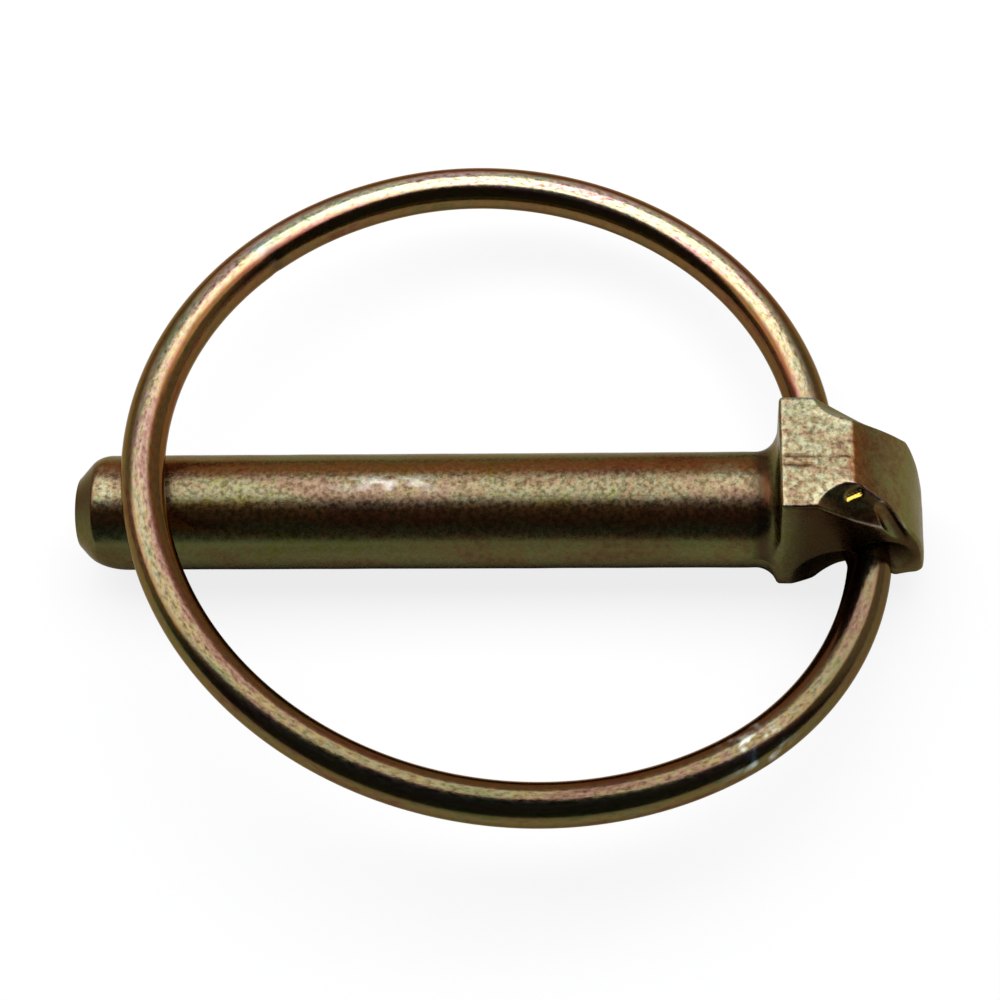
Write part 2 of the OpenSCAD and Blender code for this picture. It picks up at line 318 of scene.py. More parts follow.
@dataclass(frozen=True)
class YellowZinc:
    """Bright zinc plating with a yellow chromate passivation.

    The passivation is a layer thinner than light's wavelength, so it gives the
    metal patches of yellow, pink and green. Light and shade are painted into its
    colour by tilt: pale on level faces, warmer and browner on slopes.
    """

    name: str
    surface: Surface
    # Ramps: by tilt away from level, which paints light and shade; on level places
    # from front to back of the ring, which paints the highlight brighter at the back;
    # by patch; and by grain
    film_and_light: Stops
    upward: Stops
    hues: Stops
    specks: Stops
    # Tilts between which a level place ends, as shares of half a turn
    level_tilt: Pair
    # Colours mixed in: pale partly for painted highlight, dark for painted shade and other darkening
    pale: str
    dark: str
    warm: str
    edge: str
    roughness: float
    patch_mm: float
    grain_mm: float
    grain_depth_mm: float
    # Yellow of the painted glint on the ledge
    painted_glint: str = "#dcb84c"
    bare: str = "#dce2e6"
    patch_share: float = 0.6
    hue_span: Pair = (0.37, 0.63)
    thin_span: Pair = (0.43, 0.55)
    sheen_and_wear_from: float = 0.7
    wander: float = 0.02
    speck_tilt: Pair = (0.06, 0.15)
    steep_specks: float = 0.35
    shade_share: float = 0.85
    ring_span_mm: Pair = (-26.0, 28.0)

    def material(self) -> bpy.types.Material:
        """Build the procedural material.

        Returns:
            The finished material.
        """
        mat = bpy.data.materials.new(self.name)
        mat.use_nodes = True
        tree = mat.node_tree
        tree.nodes.clear()
        place = node(tree, "TexCoord").outputs["Object"]
        where, unit = place, MM
        if self.surface is Surface.DRAWN:
            # The wire's own map is in millimetres along and round it, so that the
            # film's patches and the drawing marks run along the wire.
            where, unit = node(tree, "UVMap", uv_map="wire"), 1.0
        patch_at, grain_at = (
            node(tree, "Mapping", {"Vector": where, "Scale": (along / size, across / size, across / size)})
            for (along, across), size in zip(self.surface.value, (self.patch_mm * unit, self.grain_mm * unit))
        )
        patch, grain, fleck = (
            node(
                tree, "TexNoise",
                {"Vector": at, "Scale": scale, "Detail": detail, "Roughness": rough, "Distortion": bend},
            )
            for at, scale, detail, rough, bend in (
                (patch_at, 1.0, 2.0, 0.5, 0.4),
                (grain_at, 1.0, 3.0, 0.6, 0.0),
                (grain_at, 0.55, 2.0, 0.6, 0.0),
            )
        )
        slow = node(tree, "Math", {0: patch, 1: self.patch_share}, operation="MULTIPLY")
        mixed = node(tree, "Math", {0: fleck, 1: 1 - self.patch_share, 2: slow}, operation="MULTIPLY_ADD")
        tilt, pale, shade, warm, painted_glint, bare = (
            node(tree, "Attribute", attribute_name=key).outputs["Fac"] for key in ("tilt",) + FILM_AND_LIGHT_KEYS
        )
        depth = node(tree, "SeparateXYZ", {0: place}).outputs["Y"]
        hue, thin, sheen_and_wear, wander, depth, rough = (
            node(
                tree, "MapRange",
                {"Value": by, "From Min": low, "From Max": high, "To Min": start, "To Max": stop},
            )
            for by, low, high, start, stop in (
                (mixed, *self.hue_span, 0.0, 1.0),
                (mixed, *self.thin_span, 0.0, 1.0),
                (pale, self.sheen_and_wear_from, 1.0, 0.0, 1.0),
                (patch, 0.3, 0.7, -self.wander, self.wander),
                (depth, self.ring_span_mm[0] * MM, self.ring_span_mm[1] * MM, 0.0, 1.0),
                (grain, 0.3, 0.7, self.roughness * 0.8, self.roughness * 1.25),
            )
        )
        tilt = node(tree, "Math", {0: tilt, 1: wander}, operation="ADD")
        level, strong = (
            node(
                tree, "MapRange",
                {"Value": tilt, "From Min": low, "From Max": high, "To Min": 1.0, "To Max": steep},
                interpolation_type=way,
            )
            for (low, high), steep, way in (
                (self.level_tilt, 0.0, "SMOOTHSTEP"),
                (self.speck_tilt, self.steep_specks, "LINEAR"),
            )
        )
        pale = node(tree, "Math", {0: pale, 1: thin, 2: sheen_and_wear}, operation="MULTIPLY_ADD", use_clamp=True)
        darkening = node(tree, "Math", {0: shade, 1: self.shade_share}, operation="MULTIPLY")
        colour, upward, hues, specks = (
            node(tree, "ValToRGB", {"Fac": by}, stops)
            for by, stops in ((tilt, self.film_and_light), (depth, self.upward), (hue, self.hues), (grain, self.specks))
        )
        # The level colour paints the highlight, pale is partly painted highlight, dark adds painted shade and
        # other darkening, and the yellow adds a painted glint; warm, hues, specks and bare zinc are the
        # plating's own
        for kind, share, over in (
            ("MIX", level, upward),
            ("MIX", pale, linear(self.pale)),
            ("MULTIPLY", warm, linear(self.warm)),
            ("MULTIPLY", 1.0, hues),
            ("MULTIPLY", strong, specks),
            ("MIX", darkening, linear(self.dark)),
            ("MIX", painted_glint, linear(self.painted_glint)),
            ("MIX", bare, linear(self.bare)),
        ):
            mix = node(tree, "Mix", {0: share, 6: colour, 7: over}, data_type="RGBA", blend_type=kind)
            colour = mix.outputs[2]
        bump = node(tree, "Bump", {"Height": grain, "Strength": strong, "Distance": self.grain_depth_mm * MM})
        shader = node(
            tree, "BsdfPrincipled",
            {"Base Color": colour, "Metallic": 1.0, "Roughness": rough, "Normal": bump,
             "Specular Tint": linear(self.edge)},
        )
        node(tree, "OutputMaterial", {"Surface": shader})
        return mat


# Forged and turned steel under the plating: its fine grain breaks the gloss up into
# specks. The grain is drawn at 0.3 mm, coarser than the real one, so that it shows.
FORGED_FINISH = YellowZinc(
    name="yellow_zinc_on_forged_steel",
    surface=Surface.FORGED,
    film_and_light=((0.09, "#94704c"), (0.13, "#8e6240"), (0.175, "#885a38"), (0.205, "#7c6440"), (0.24, "#787050"),
          (0.3, "#727450"), (0.38, "#6c6a48"), (0.5, "#757458"), (1.0, "#70704e")),
    upward=((0.0, "#8c8678"), (1.0, "#8c8678")),
    hues=((0.0, "#d8b8aa"), (0.3, "#ecd2c0"), (0.5, "#e8deba"), (0.7, "#e4e6d4"), (1.0, "#dce2a4")),
    specks=((0.32, "#908880"), (0.48, "#d4cec6"), (0.63, "#ffffff")),
    level_tilt=(0.06, 0.125),
    pale="#b6b6ac",
    dark="#342219",
    warm="#f4bca8",
    edge="#dcd0c0",
    roughness=0.27,
    patch_mm=4.0,
    grain_mm=0.32,
    grain_depth_mm=0.013,
)
# Drawn spring wire under the plating: smoother, so its highlight is a sharp line, with
# long patches and drawing marks along it. The marks too are drawn coarser than real.
WIRE_FINISH = YellowZinc(
    name="yellow_zinc_on_drawn_wire",
    surface=Surface.DRAWN,
    film_and_light=((0.1, "#84684c"), (0.16, "#74583a"), (0.24, "#70603e"), (0.36, "#746846"), (0.5, "#746a4c"),
          (1.0, "#6e684a")),
    # Painted highlight: level places are painted dim at the ring's front and near white at its back
    upward=((0.0, "#6e6652"), (0.25, "#827864"), (0.5, "#989080"), (0.8, "#ccc4b0"), (1.0, "#ece8dc")),
    hues=((0.0, "#dcb4b6"), (0.25, "#eed2d8"), (0.45, "#f2e4d0"), (0.6, "#f0e8c0"), (0.75, "#e8eae4"),
          (1.0, "#cee0ba")),
    specks=((0.3, "#8c8478"), (0.46, "#dcd8d0"), (0.6, "#ffffff")),
    level_tilt=(0.09, 0.18),
    pale="#b4bebc",
    dark="#463828",
    warm="#ffc4bc",
    edge="#dccab8",
    roughness=0.17,
    patch_mm=8.0,
    grain_mm=0.24,
    grain_depth_mm=0.008,
)


# ---------------------------------------- the pin


@dataclass
class Head:
    """The forged head: a block with rounded edges, scoops, hollows and wire holes.

    Its skin is worked out as signed distances. Rays run out from the middle of the
    hinge, and each point of the skin is the last place where its ray leaves the steel.
    """

    shoulder: float = 1.5
    shank_r: float = 4.0
    shank_stop: float = 0.4
    top: float = 7.6
    drop: float = 4.5
    half_width: float = 4.6
    nose_half: float = 3.85
    nose_from: float = 0.8
    cheek_slope: float = 0.15 / 8.6
    length: float = 10.2
    top_len: float = 4.75
    belly_len: float = 1.5
    rise_end: float = 7.5
    nose_drop: float = 2.2
    belly_r: float = 3.0
    nose_front_r: float = 0.8
    nose_back_r: float = 2.6
    # Radii of the rounded edges, and of the fillet under the nose
    shoulder_edge_r: float = 0.36
    under_edge_r: float = 0.3
    under_fillet_r: float = 1.2
    heel_edge_r: float = 0.8
    end_edge_r: float = 0.22
    side_edge_r: float = 0.35
    belly_edge_r: float = 0.25
    scoop_edge_r: float = 0.1
    hollow_edge_r: float = 0.35
    hole_edge_r: float = 0.15
    scoop_r: float = 3.0
    scoop_angle: float = 44.0
    # Depth, angle outwards and where the lip leaves the flat top, of each scoop
    front_scoop: Triple = (3.5, 21.0, 2.5)
    back_scoop: Triple = (2.9, 10.0, 2.2)
    ledge: Triple = (4.9, -2.74, 6.5)
    ledge_half: float = 0.62
    ledge_slant: float = 0.5
    ledge_wall_r: float = 0.06
    ledge_end_r: float = 0.25
    runnel_start: Triple = (6.9, -3.6, 5.6)
    runnel_stop: Triple = (8.9, -4.75, 1.5)
    runnel_r: float = 0.62
    hollow_r: float = 4.0
    hollow_depth: float = 2.3
    hollow_x: float = 4.6
    hollow_drop: float = 2.2
    hinge_x: float = 6.155
    hinge_slant: float = 20.796
    hole_r: float = 1.56
    sink_angle: float = 38.0
    sink_start_back: float = 4.66
    sink_start_front: float = 3.59
    sink_depth: float = 1.4
    # Height, size and seed of each wave, and depth, size, bias and seed of the pits
    waves: tuple[tuple[float, float, int], ...] = ((0.035, 2.6, 3), (0.012, 0.8, 4))
    pits: tuple[tuple[float, float, float, int], ...] = ((0.03, 0.42, 0.1, 5), (0.035, 0.95, 0.0, 6))
    wave_room: float = 0.05
    groove_depth: float = 0.09
    groove_len: float = 3.8
    seam_x: float = -0.8
    seam_fade: float = 2.2
    columns: int = 400
    rows: int = 235
    ray_start: float = 13.0
    ray_step: float = 0.12
    ray_steps: int = 95
    halvings: int = 12
    pole_gap: float = 0.012
    finish: YellowZinc = FORGED_FINISH

    def block(self, q: Array) -> Array:
        """Distances to the block before the scoops and holes are cut.

        Formula: the meeting of a shoulder plane, a flat top, an underside of three
        flats, an end face that is part of a cylinder, and drafted cheeks.

        Args:
            q: Points, one row each, from the shoulder.

        Returns:
            Signed distances, positive outside.
        """
        x, y, z = q.T
        height, run = self.top + self.nose_drop, self.length - self.top_len
        end_r = (height**2 + run**2) / (2 * run)
        end = np.hypot(x - (self.length - end_r), z + self.nose_drop) - end_r
        d = round_max(-x, z - self.top, self.shoulder_edge_r)
        slope = np.array([self.drop - self.nose_drop, -(self.rise_end - self.belly_len)])
        slope = slope / np.hypot(*slope)
        rising = (x - self.belly_len) * slope[0] + (z + self.drop) * slope[1]
        under = round_min(rising, -self.nose_drop - z, self.under_fillet_r)
        under = round_max(under, -self.drop - z, self.heel_edge_r)
        d = round_max(d, under, self.under_edge_r)
        d = round_max(d, end, self.end_edge_r)
        wide = np.abs(y)
        cheek = wide + np.maximum(z, 0) * self.cheek_slope - self.half_width
        plan = atan2(self.half_width - self.nose_half, self.length - self.nose_from)
        taper = (wide - self.half_width) * cos(plan) + x * sin(plan)
        corner_r = np.where(y > 0, self.nose_back_r, self.nose_front_r)
        side = np.maximum(cheek, round_max(x - self.length, taper, corner_r))
        return round_max(d, side, self.side_edge_r)

    def scoop(self, q: Array) -> Array:
        """Distances to the slanting scoops, one at the top of each cheek.

        Formula: the distance from a slanting line, less the scoop's radius.

        Args:
            q: Points, one row each, from the shoulder.

        Returns:
            Signed distances, positive outside both scoops.
        """
        x, y, z = q.T
        nearest = np.full_like(x, np.inf)
        for side, (depth, splay, begin) in ((1, self.back_scoop), (-1, self.front_scoop)):
            centre = self.half_width - depth + self.scoop_r
            lip = sqrt(self.scoop_r**2 - (centre - self.half_width) ** 2)
            a, s = radians(90 + self.scoop_angle), radians(splay)
            run = np.array([sin(a) * cos(s), sin(a) * sin(s), cos(a)])
            back = np.array([cos(a) * cos(s), cos(a) * sin(s), -sin(a)])
            start = np.array([begin, centre, self.top]) - lip * back
            rel = np.stack([x - start[0], side * y - start[1], z - start[2]])
            along = np.tensordot(run, rel, axes=1)
            gap = np.sqrt(np.maximum((rel**2).sum(0) - along**2, 0)) - self.scoop_r
            nearest = np.minimum(nearest, gap)
        return nearest

    def pocket(self, q: Array) -> Array:
        """Distances to the small ledge and the runnel that break up the front scoop.

        Formula: a short notch with a level floor and an upright wall, and a thin
        rod with round ends that runs down beside the end face.

        Args:
            q: Points, one row each, from the shoulder.

        Returns:
            Signed distances, positive outside both.
        """
        x, y, z = q.T
        at_x, at_y, at_z = self.ledge
        notch = round_max(at_z - z, y - at_y - self.ledge_slant * (x - at_x), self.ledge_wall_r)
        notch = round_max(notch, np.abs(x - at_x) - self.ledge_half, self.ledge_end_r)
        start, stop = np.array(self.runnel_start), np.array(self.runnel_stop)
        from_start, way = q - start, stop - start
        share = np.clip(from_start @ way / (way @ way), 0, 1)
        rod = np.linalg.norm(from_start - share[:, None] * way, axis=1) - self.runnel_r
        return np.minimum(notch, rod)

    def hollow(self, q: Array) -> Array:
        """Distances to the round hollows about the wire holes, as spheres.

        Args:
            q: Points, one row each, from the shoulder.

        Returns:
            Signed distances, positive outside a hollow.
        """
        centre = self.half_width - self.hollow_depth + self.hollow_r
        x, y, z = q[:, 0] - self.hollow_x, np.abs(q[:, 1]) - centre, q[:, 2] + self.hollow_drop
        return np.sqrt(x**2 + y**2 + z**2) - self.hollow_r

    def holes(self, p: Array) -> Array:
        """Distances to the countersunk mouths of the slanting wire hole.

        Formula: two cones about the hinge that open outwards from the hole.

        Args:
            p: Points, one row each, from the origin.

        Returns:
            Signed distances, positive outside the hole.
        """
        x, y, z = p[:, 0] - self.hinge_x, p[:, 1], p[:, 2]
        t = radians(self.hinge_slant)
        along = -x * sin(t) + y * cos(t)
        side = x * cos(t) + y * sin(t)
        tube = np.hypot(side, z) - self.hole_r
        sink = radians(self.sink_angle)
        start = np.where(along > 0, self.sink_start_back, self.sink_start_front)
        cone = tube * cos(sink) - (np.abs(along) - start) * sin(sink)
        floor = start - self.sink_depth - np.abs(along)
        return np.maximum(np.minimum(cone, np.where(np.abs(along) < start, tube, cone)), floor)

    def distance(self, p: Array) -> Array:
        """Signed distances from points to the head with its neck.

        Args:
            p: Points, one row each, from the origin.

        Returns:
            One distance for each point, positive outside.
        """
        q = p - np.array([self.shoulder, 0.0, 0.0])
        x, y, z = q.T
        shank = np.maximum(np.hypot(y, z) - self.shank_r, x + self.shank_stop)
        d = round_min(self.block(q), shank, self.shoulder)
        sides = round_max(np.abs(y) - self.half_width, -self.drop - z, self.belly_r)
        d = round_max(d, sides, self.belly_edge_r)
        cut = round_min(self.scoop(q), self.pocket(q), self.scoop_edge_r)
        d = round_max(d, -cut, self.scoop_edge_r)
        d = round_max(d, -self.hollow(q), self.hollow_edge_r)
        return round_max(d, -self.holes(p), self.hole_edge_r)

    def rough(self, p: Array, normal: Array) -> Array:
        """Heights of the forging's unevenness along the normal.

        Formula: smooth noise all over, with pits, a short double groove and a fine
        flash line on the flat top.

        Args:
            p: Points, one row each.
            normal: Their outward normals.

        Returns:
            Height of each point in millimetres, never outwards.
        """
        wave = sum(high * lattice_noise(p, size, seed) for high, size, seed in self.waves)
        pits = sum(
            deep * np.minimum(lattice_noise(p, size, seed) + bias, 0) for deep, size, bias, seed in self.pits
        )
        flat = rise(normal[:, 2], 0.92, 0.06) * rise(p[:, 2], self.top - 1.0, 0.5)
        return wave - self.wave_room + flat * (pits - self.groove_depth * self.groove(p))

    def groove(self, p: Array) -> Array:
        """How deep the forging's shallow groove and fine line are on the flat top.

        Formula: two bells across, one along the whole flat and one only beside the
        shoulder, with a shallow floor between them there.

        Args:
            p: Points, one row each.

        Returns:
            One value from 0 to 1 for each point.
        """
        y = p[:, 1] + 0.06 * lattice_noise(p, 1.2, 7)
        near = rise(-p[:, 0], -self.groove_len, 0.4)
        line = bell(y, -0.35, 0.1) * (0.45 + 0.55 * near)
        side = bell(y, -1.0, 0.13) * near
        between = 0.35 * np.exp(-(((y + 0.68) / 0.28) ** 4)) * near
        return np.maximum(np.maximum(line, side), between)

    def skin(self) -> tuple[Array, dict[str, Array]]:
        """Find the skin of the head.

        Formula: directions sweep from the neck's seam round to the nose in rows,
        and turn about the shank's axis in columns. On each, the distance is read
        inwards in steps until it turns negative, and the place is then halved in.

        Returns:
            Grid of points, rows by columns by 3, and the values of the passivation and
            of the painted light and shade on them.
        """
        turn = np.linspace(0, 2 * pi, self.columns, endpoint=False)
        first = atan2(self.shank_r, self.hinge_x - self.seam_x)
        a, b = np.meshgrid(np.linspace(first, pi - self.pole_gap, self.rows), turn, indexing="ij")
        ray = np.stack([-np.cos(a), np.sin(a) * np.cos(b), np.sin(a) * np.sin(b)], axis=-1).reshape(-1, 3)
        start = np.array([self.hinge_x, 0.0, 0.0])
        high = np.full(len(ray), self.ray_start)
        found = np.zeros(len(ray), bool)
        for _ in range(self.ray_steps):
            live = np.flatnonzero(~found)
            inner = high[live] - self.ray_step
            hit = self.distance(start + ray[live] * inner[:, None]) < 0
            found[live[hit]] = True
            high[live[~hit]] = inner[~hit]
        low = high - self.ray_step
        for _ in range(self.halvings):
            middle = (low + high) / 2
            inside = self.distance(start + ray * middle[:, None]) < 0
            low, high = np.where(inside, middle, low), np.where(inside, high, middle)
        points = start + ray * high[:, None]
        nudge = 0.02 * np.eye(3)
        slope = np.stack([self.distance(points + n) - self.distance(points - n) for n in nudge], axis=1)
        normal = slope / np.maximum(np.linalg.norm(slope, axis=1, keepdims=True), 1e-9)
        fade = smooth(rise(points[:, 0], self.seam_x, self.seam_fade))
        moved = points + normal * (self.rough(points, normal) * fade)[:, None]
        grid = (self.rows, self.columns)
        film_and_light = {key: value.reshape(grid) for key, value in self.film_and_light(points, normal).items()}
        return moved.reshape(*grid, 3), film_and_light

    def film_and_light(self, p: Array, normal: Array) -> dict[str, Array]:
        """How the passivation and the painted light and shade change from place to place.

        Args:
            p: Points, one row each, from the origin.
            normal: Their outward normals.

        Returns:
            The values that FILM_AND_LIGHT_KEYS names, from 0 to 1.
        """
        q = p - np.array([self.shoulder, 0.0, 0.0])
        block, scoop, groove = self.block(q), self.scoop(q), self.groove(p)
        x, y, z = q.T
        front = y < 0
        # Painted shade: darker with the depth below the block's own faces, less so in
        # the upper scoops
        recess = rise(-block, 0, 0.7) * np.where(z > 2.2, 0.15, 1.0)
        # Painted shade on the cheeks away from the shoulder and the underside
        cheek = rise(np.abs(normal[:, 1]), 0.72, 0.2) * np.maximum(rise(x, -0.1, 1.6), 0.2)
        cheek *= rise(z, -2.0, 2.0)
        # Painted shade in the neck's curve
        neck = 0.95 * np.clip(1.3 - np.abs(x + 1.0) / 0.7, 0, 1) * (z > 0)
        # Pale on the flat top, painted light that the level face catches, most of all
        # along its edges, which are also worn
        flat = rise(normal[:, 2], 0.7, 0.15) * rise(z, self.top - 0.18, 0.08)
        to_rim = np.minimum(np.minimum(x, self.half_width - np.abs(y)), scoop)
        worn = 0.6 + 0.4 * bell(np.maximum(to_rim, 0.15), 0.15, 0.3)
        # Painted glint, yellow and pale, on the ledge in the front scoop, and painted
        # highlight, pale and warm, on its saddle
        ledge = rise(normal[:, 2], 0.8, 0.1) * (np.abs(z - self.ledge[2]) < 0.2) * front
        saddle = bell(np.linalg.norm(np.stack([x - 6.2, y + 3.85, z - 4.9]), axis=0), 0, 1.1)
        # Painted highlight along the front scoop's rim on the end face, where the rim is
        # also worn
        sheen_and_wear = bell(scoop, 0, 0.13) * bell(block, 0, 0.1) * front
        sheen_and_wear *= rise(z, 2.6, 1.0) * rise(x, self.top_len - 0.3, 0.3)
        # Painted shade, also in the flat top's groove, but none on the ledge, the saddle or along the rim
        shade = np.maximum(np.maximum(recess, neck), 0.9 * cheek) * (1 - flat) * (1 - ledge)
        far_cheek = 0.6 * cheek * rise(x, 1.5, 0.6)
        return {
            "pale": np.maximum.reduce([flat * worn, 0.5 * ledge, 0.4 * saddle, 0.8 * sheen_and_wear]),
            "shade": (shade + 0.7 * groove * flat) * (1 - saddle) * (1 - sheen_and_wear),
            "warm": np.maximum.reduce([0.8 * groove * flat, saddle, far_cheek]),
            "painted_glint": 0.9 * ledge,
            "bare": 0.1 * sheen_and_wear,
        }

    def build(self) -> bpy.types.Object:
        """Make the head's mesh and dress it."""
        return closed_grid("forged_head", *self.skin(), self.finish)


@dataclass
class Shank:
    """The round shank with its worn cone at the tip."""

    radius: float = 4.0
    seam_x: float = -0.8
    seam_fade: float = 3.0
    cone_x: float = -45.4
    end_x: float = -46.88
    end_r: float = 2.35
    rim_r: float = 0.22
    # Radius between shank and cone where it is crisp, and the most that wear adds
    crisp_r: float = 0.4
    wear_r: float = 4.5
    # Middle in degrees, narrowness and strength of each worn side
    wears: tuple[tuple[float, int, float], ...] = ((224.0, 9, 1.0), (15.0, 6, 0.42))
    # Place along, place round in degrees, half length, half width and depth
    dents: tuple[tuple[float, float, float, float, float], ...] = (
        (-10.9, 236.0, 0.8, 0.22, 0.05),
        (-0.9, 232.0, 0.3, 0.3, 0.06),
    )
    # Height, size and seed of the waves, and the room that is kept for them
    wave: tuple[float, float, int] = (0.012, 2.2, 11)
    wave_room: float = 0.014
    # Place along, place round in degrees, half length and half width
    scratched: tuple[float, float, float, float] = (-24.8, 93.0, 3.2, 8.0)
    cone_dark_turn: Pair = (98.0, 40.0)
    columns: int = 256
    finish: YellowZinc = FORGED_FINISH

    def skin(self) -> Array:
        """Turn the outline about the axis, with a tip more worn on one side.

        Formula: straight, then an arc that touches the shank and the cone, then
        the cone, a small rounded edge and the flat end. The arc's radius grows
        smoothly towards the shank's lower front, and a little towards its back.

        Returns:
            Grid of points, rows by columns by 3.
        """
        turn = np.linspace(0, 2 * pi, self.columns, endpoint=False)
        worn = [
            much * (0.5 + 0.5 * np.cos(turn - radians(side))) ** narrow
            for side, narrow, much in self.wears
        ]
        arc_r = self.crisp_r + self.wear_r * np.maximum.reduce(worn)
        angle = atan2(self.radius - self.end_r, self.cone_x - self.end_x)
        reach = arc_r * tan(angle / 2)
        straight = np.linspace(0, 1, 150)[:, None] ** 0.8
        x0 = self.seam_x + straight * (self.cone_x + reach - self.seam_x)
        r0 = np.full_like(x0, self.radius)
        sweep = np.linspace(0, angle, 16)[1:, None]
        x1 = self.cone_x + reach - arc_r * np.sin(sweep)
        r1 = self.radius - arc_r * (1 - np.cos(sweep))
        share = np.linspace(0, 1, 8)[1:, None]
        stop_x, stop_r = self.end_x + self.rim_r * 0.45, self.end_r + self.rim_r * 0.5
        x2 = x1[-1:] + share * (stop_x - x1[-1:])
        r2 = r1[-1:] + share * (stop_r - r1[-1:])
        curl = np.linspace(0, 1, 6)[1:, None]
        quarter = curl * pi / 2
        x3 = stop_x + (self.end_x - stop_x) * np.sin(quarter) + 0 * turn
        r3 = stop_r - self.rim_r * (1 - np.cos(quarter)) - self.rim_r * 0.3 * curl + 0 * turn
        inner = np.linspace(1, 0.02, 14)[1:, None]
        x4 = np.full((len(inner), self.columns), self.end_x)
        r4 = inner * r3[-1:]
        x = np.concatenate([x0, x1, x2, x3, x4])
        r = np.concatenate([r0, r1, r2, r3, r4])
        points = np.stack([x, r * np.cos(turn), r * np.sin(turn)], axis=-1)
        flat = points.reshape(-1, 3)
        height, size, seed = self.wave
        uneven = height * lattice_noise(flat, size, seed) - self.wave_room - self.marks(flat)
        fade = smooth(rise(-flat[:, 0], -self.seam_x, self.seam_fade))
        outward = flat * np.array([0.0, 1.0, 1.0])
        outward /= np.maximum(np.linalg.norm(outward, axis=1, keepdims=True), 0.3)
        return (flat + outward * (uneven * fade)[:, None]).reshape(points.shape)

    def marks(self, p: Array) -> Array:
        """Depths of the few handling marks that the photograph shows on the shank.

        Formula: an elliptical bell about each mark's middle.

        Args:
            p: Points, one row each.

        Returns:
            Depth of each point in millimetres.
        """
        depth = np.zeros(len(p))
        turn = np.degrees(np.arctan2(p[:, 2], p[:, 1])) % 360
        for x, round_at, long, wide, deep in self.dents:
            across = np.radians(turn - round_at) * self.radius
            depth += deep * bell(p[:, 0], x, long) * bell(across, 0, wide)
        return depth

    def film_and_light(self, p: Array) -> dict[str, Array]:
        """How the passivation and painted light and shade change along and round the shank.

        Args:
            p: Grid of points, rows by columns by 3.

        Returns:
            The values that FILM_AND_LIGHT_KEYS names, apart from "warm" and "straw".
        """
        x, turn = p[..., 0], np.degrees(np.arctan2(p[..., 2], p[..., 1]))
        # Painted highlight on top beside the cone and beside the head
        up = rise(p[..., 2] / self.radius, 0.9, 0.08)
        tip_and_neck_highlight = up * (0.75 * bell(x, -44.6, 0.9) + 0.4 * bell(x, -1.9, 1.1))
        # Scratched to bare zinc in streaks, three times as long as wide
        along, around, long, wide = self.scratched
        streaks = lattice_noise(p.reshape(-1, 3) * np.array([0.35, 1.0, 1.0]), 0.3, 13)
        scratch = np.clip(streaks * 2.2 + 0.1, 0, 1).reshape(x.shape)
        scratch *= bell(x, along, long) * bell(turn, around, wide)
        # Darker round the cone, most near its top, and a little painted shade on the
        # steep front
        cone = rise(-x, -self.cone_x - 0.15, 0.2)
        cone_dark = cone * (0.18 + 0.8 * bell(turn, *self.cone_dark_turn))
        front = rise(np.abs(turn), 148, 12) * (1 - cone) * rise(-x, 3.0, 3.0)
        front *= 0.3 + 0.25 * bell(x, -44.6, 1.8)
        return {
            "pale": np.maximum(tip_and_neck_highlight, scratch),
            "shade": np.maximum(cone_dark, front),
            "bare": 0.22 * scratch,
        }

    def build(self) -> bpy.types.Object:
        """Make the shank's mesh and dress it."""
        points = self.skin()
        return closed_grid("turned_shank", points, self.film_and_light(points), self.finish)


# ---------------------------------------- the ring


